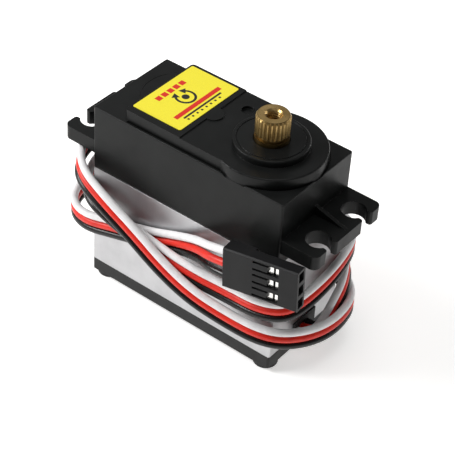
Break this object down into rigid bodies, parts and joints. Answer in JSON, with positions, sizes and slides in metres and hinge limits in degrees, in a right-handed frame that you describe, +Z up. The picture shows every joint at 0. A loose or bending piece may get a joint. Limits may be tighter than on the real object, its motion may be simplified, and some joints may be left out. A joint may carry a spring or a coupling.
{
  "type": "servo motor",
  "caption": "Standard-size servo motor: black gearbox cover with slotted ears, aluminium middle case, splined brass output shaft and a three-wire lead wound round it",
  "frame": {"origin": "on the surface that the case stands on, under the middle of the case between its two ears", "axes": "X along the case with the output shaft at +X, Y across the case, Z up along the output shaft"},
  "size_m": [0.0558, 0.03, 0.0455],
  "materials": {
    "bottom_cover": "moulded black",
    "bottom_gasket": "black",
    "capacitor": "can",
    "case_screws": "zinc",
    "connector_housing": "moulded black",
    "control_board": "solder mask",
    "drive_transistors": "moulded",
    "first_gear": "machined",
    "gear_pin_a": "ground",
    "gear_pin_b": "ground",
    "ground_contact": "tinned",
    "ground_wire": "insulated wire",
    "inner_leads": "insulated wire",
    "label": "printed sticker",
    "lead_grommet": "black",
    "lower_bearing_balls": "polished",
    "lower_bearing_inner_ring": "ground",
    "lower_bearing_outer_ring": "ground",
    "microcontroller": "moulded",
    "middle_case": "satin anodised",
    "motor_armature": "laminated",
    "motor_brushes": "spring strip",
    "motor_can": "plated",
    "motor_commutator": "copper",
    "motor_end_cap": "moulded white",
    "motor_front_bush": "sintered",
    "motor_magnets": "ferrite",
    "motor_pinion": "machined",
    "motor_rear_bush": "sintered",
    "motor_screws": "zinc",
    "motor_shaft": "ground",
    "motor_terminals": "tinned",
    "motor_windings": "enamelled wire",
    "output_shaft": "machined",
    "potentiometer_housing": "moulded",
    "potentiometer_pins": "tinned",
    "potentiometer_track": "carbon",
    "potentiometer_wiper": "turned",
    "power_contact": "tinned",
    "power_wire": "insulated wire",
    "second_gear": "machined",
    "shaft_o_ring": "black",
    "signal_contact": "tinned",
    "signal_wire": "insulated wire",
    "third_gear": "machined",
    "top_case": "moulded black, fine texture",
    "top_gasket": "black",
    "upper_bearing_balls": "polished",
    "upper_bearing_inner_ring": "ground",
    "upper_bearing_outer_ring": "ground"
  },
  "bodies": {
    "case": {"bottom_cover": "bottom_cover", "bottom_gasket": "bottom_gasket", "capacitor": "capacitor", "case_screws": "case_screws", "connector_housing": "connector_housing", "control_board": "control_board", "drive_transistors": "drive_transistors", "gear_pin_a": "gear_pin_a", "gear_pin_b": "gear_pin_b", "ground_contact": "ground_contact", "ground_wire": "ground_wire", "inner_leads": "inner_leads", "label": "label", "lead_grommet": "lead_grommet", "lower_bearing_balls": "lower_bearing_balls", "lower_bearing_outer_ring": "lower_bearing_outer_ring", "microcontroller": "microcontroller", "middle_case": "middle_case", "motor_brushes": "motor_brushes", "motor_can": "motor_can", "motor_end_cap": "motor_end_cap", "motor_front_bush": "motor_front_bush", "motor_magnets": "motor_magnets", "motor_rear_bush": "motor_rear_bush", "motor_screws": "motor_screws", "motor_terminals": "motor_terminals", "potentiometer_housing": "potentiometer_housing", "potentiometer_pins": "potentiometer_pins", "potentiometer_track": "potentiometer_track", "power_contact": "power_contact", "power_wire": "power_wire", "shaft_o_ring": "shaft_o_ring", "signal_contact": "signal_contact", "signal_wire": "signal_wire", "top_case": "top_case", "top_gasket": "top_gasket", "upper_bearing_balls": "upper_bearing_balls", "upper_bearing_outer_ring": "upper_bearing_outer_ring"},
    "output": {"output_shaft": "output_shaft", "upper_bearing_inner_ring": "upper_bearing_inner_ring", "lower_bearing_inner_ring": "lower_bearing_inner_ring", "potentiometer_wiper": "potentiometer_wiper"},
    "rotor": {"motor_pinion": "motor_pinion", "motor_shaft": "motor_shaft", "motor_armature": "motor_armature", "motor_windings": "motor_windings", "motor_commutator": "motor_commutator"},
    "first": {"first_gear": "first_gear"},
    "second": {"second_gear": "second_gear"},
    "third": {"third_gear": "third_gear"}
  },
  "joints": [
    {"name": "output_turn", "type": "hinge", "parent": "case", "child": "output", "pos_m": [0.01025, 0, 0.037], "axis": [0, 0, 1], "range_deg": [-90, 90]},
    {"name": "third_gear_spin", "type": "hinge", "parent": "case", "child": "third", "pos_m": [0.00025, 0, 0.031], "axis": [0, 0, 1], "range_deg": [-320.1, 320.1]},
    {"name": "second_gear_spin", "type": "hinge", "parent": "case", "child": "second", "pos_m": [-0.00563, 0.003, 0.029], "axis": [0, 0, 1], "range_deg": [-1086.9, 1086.9]},
    {"name": "first_gear_spin", "type": "hinge", "parent": "case", "child": "first", "pos_m": [0.00025, 0, 0.027], "axis": [0, 0, 1], "range_deg": [-3693.7, 3693.7]},
    {"name": "motor_spin", "type": "hinge", "parent": "case", "child": "rotor", "pos_m": [-0.00925, 0, 0.015], "axis": [0, 0, 1], "range_deg": [-19693, 19693]}
  ],
  "couplings": [
    {"joint": "third_gear_spin", "follows": "output_turn", "ratio": -3.5455},
    {"joint": "second_gear_spin", "follows": "output_turn", "ratio": 12.055},
    {"joint": "first_gear_spin", "follows": "output_turn", "ratio": -40.985},
    {"joint": "motor_spin", "follows": "output_turn", "ratio": 218.59}
  ]
}
